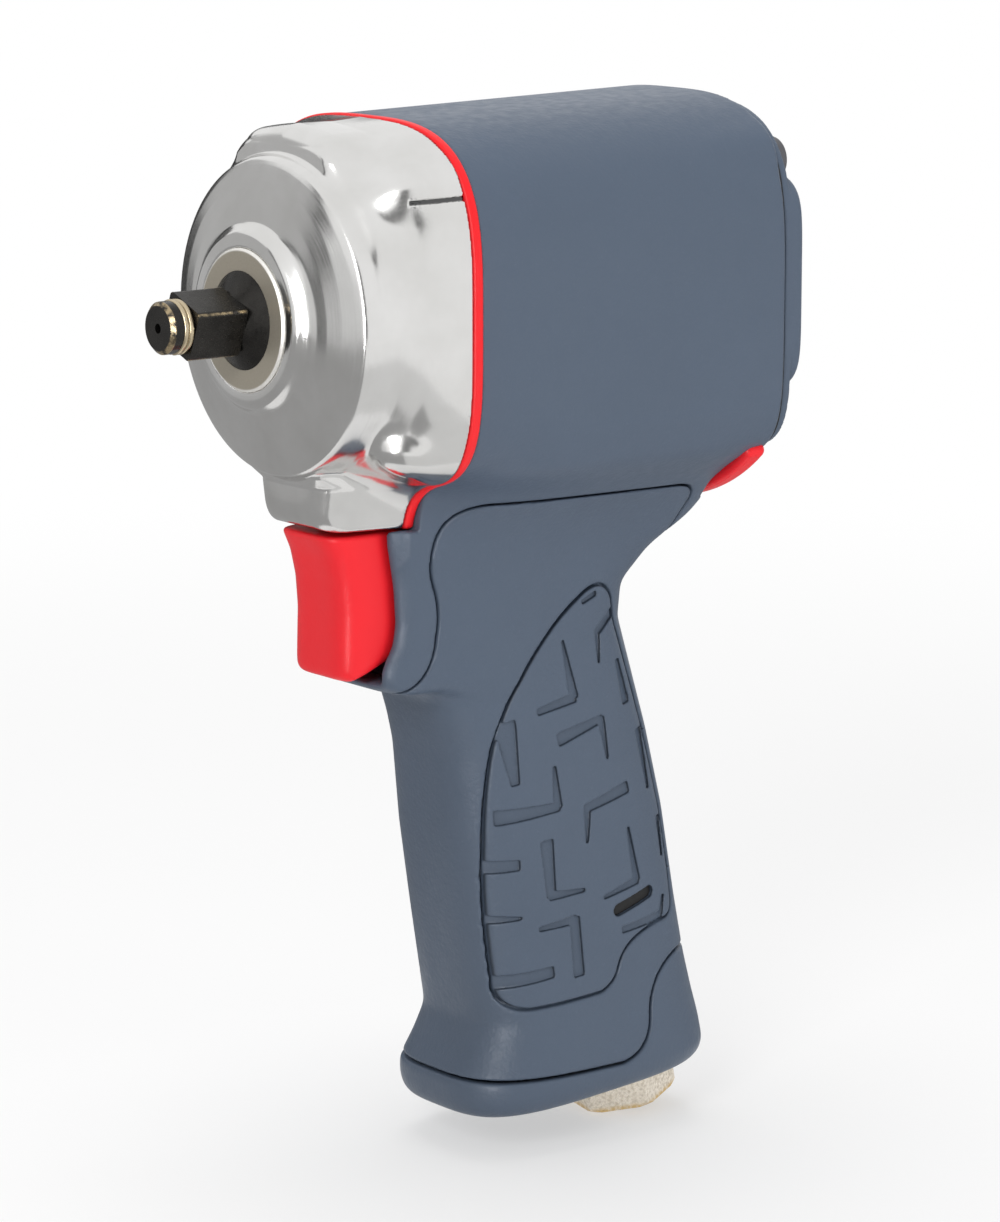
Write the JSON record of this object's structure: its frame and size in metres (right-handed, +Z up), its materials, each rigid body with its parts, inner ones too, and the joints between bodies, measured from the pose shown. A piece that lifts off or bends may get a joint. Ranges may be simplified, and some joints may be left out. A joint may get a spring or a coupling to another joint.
{
  "type": "air impact wrench",
  "caption": "Compact pistol-grip air impact wrench with a square drive, polished hammer case, vane motor, tilt-valve trigger, reverse lever and a threaded air inlet under the handle.",
  "frame": {"origin": "on the drive axis, at the front face of the nose bushing", "axes": "+X along the drive axis towards the rear cover, so the drive square points to -X; +Z up, from the handle's base to the barrel; +Y to the tool's right side"},
  "size_m": [0.1246, 0.0666, 0.1989],
  "materials": {
    "polished_aluminium": "polished",
    "slate_composite": "satin",
    "slate_rubber": "soft satin",
    "red_plastic": "gloss",
    "red_gasket": "matte",
    "black_oxide_steel": "black oxide",
    "bearing_bronze": "machined",
    "gold_spring_steel": "satin",
    "bright_steel": "ground",
    "dark_steel": "satin",
    "nickel_steel": "nickel plated",
    "cylinder_iron": "machined",
    "plate_aluminium": "machined",
    "vane_laminate": "matte",
    "black_rubber": "matte",
    "felt": "matte"
  },
  "bodies": {
    "housing": {"nose_bushing": "bearing_bronze", "hammer_case": "polished_aluminium", "case_gasket": "red_gasket", "motor_retaining_ring": "dark_steel", "front_end_plate": "plate_aluminium", "rear_end_plate": "plate_aluminium", "front_bearing": "bright_steel", "rear_bearing": "bright_steel", "motor_cylinder": "cylinder_iron", "cylinder_dowel": "bright_steel", "motor_spacer": "bright_steel", "detent_ball": "bright_steel", "detent_spring": "bright_steel", "rear_gasket": "black_rubber", "rear_cover": "slate_composite", "housing_bolts": "dark_steel", "rod_bushing": "bearing_bronze", "rod_seal": "black_rubber", "throttle_seat": "black_rubber", "throttle_spring": "bright_steel", "spring_seat": "bright_steel", "inlet_bushing": "nickel_steel", "inlet_seal": "black_rubber", "inlet_screen": "bright_steel", "motor_housing": "slate_composite", "handle_overmould": "slate_rubber", "grip_left": "slate_rubber", "grip_right": "slate_rubber", "base_cap": "slate_composite", "exhaust_muffler": "felt"},
    "anvil": {"anvil": "black_oxide_steel", "socket_retaining_ring": "gold_spring_steel", "retainer_rubber_ring": "black_rubber"},
    "rotor": {"rotor": "bright_steel", "rotor_vanes": "vane_laminate", "front_bearing_inner_race": "bright_steel", "rear_bearing_inner_race": "bright_steel", "hammer_frame": "dark_steel", "hammer_pins": "bright_steel"},
    "front_hammer": {"front_hammer": "dark_steel"},
    "rear_hammer": {"rear_hammer": "dark_steel"},
    "trigger": {"trigger": "red_plastic", "trigger_rod": "bright_steel"},
    "throttle_valve": {"throttle_valve": "bright_steel"},
    "reverse": {"reverse_valve": "plate_aluminium", "reverse_lever": "red_plastic"}
  },
  "joints": [
    {"name": "rotor_spin", "type": "hinge", "parent": "housing", "child": "rotor", "pos_m": [0.068, 0, 0], "axis": [1, 0, 0], "continuous": true},
    {"name": "anvil_spin", "type": "hinge", "parent": "housing", "child": "anvil", "pos_m": [0.005, 0, 0], "axis": [1, 0, 0], "continuous": true},
    {"name": "front_hammer_swing", "type": "hinge", "parent": "rotor", "child": "front_hammer", "pos_m": [0.0212, 0.0184, 0], "axis": [-1, 0, 0], "range_deg": [0, 5]},
    {"name": "rear_hammer_swing", "type": "hinge", "parent": "rotor", "child": "rear_hammer", "pos_m": [0.0331, -0.0184, 0], "axis": [-1, 0, 0], "range_deg": [0, 5]},
    {"name": "trigger_slide", "type": "slide", "parent": "housing", "child": "trigger", "axis": [1, 0, 0], "range_m": [0, 0.0045], "stiffness_N_per_m": 900, "springref_m": -0.006},
    {"name": "throttle_tilt", "type": "hinge", "parent": "housing", "child": "throttle_valve", "pos_m": [0.06439, 0, -0.07489], "axis": [0, 1, 0], "range_deg": [0, 12.5], "deforming": ["throttle_spring"]},
    {"name": "reverse_swing", "type": "hinge", "parent": "housing", "child": "reverse", "pos_m": [0.096, 0, 0], "axis": [1, 0, 0], "range_deg": [0, 12]}
  ],
  "couplings": [
    {"joint": "anvil_spin", "follows": "rotor_spin", "ratio": 1},
    {"joint": "throttle_tilt", "follows": "trigger_slide", "rad_per_m": 48}
  ]
}
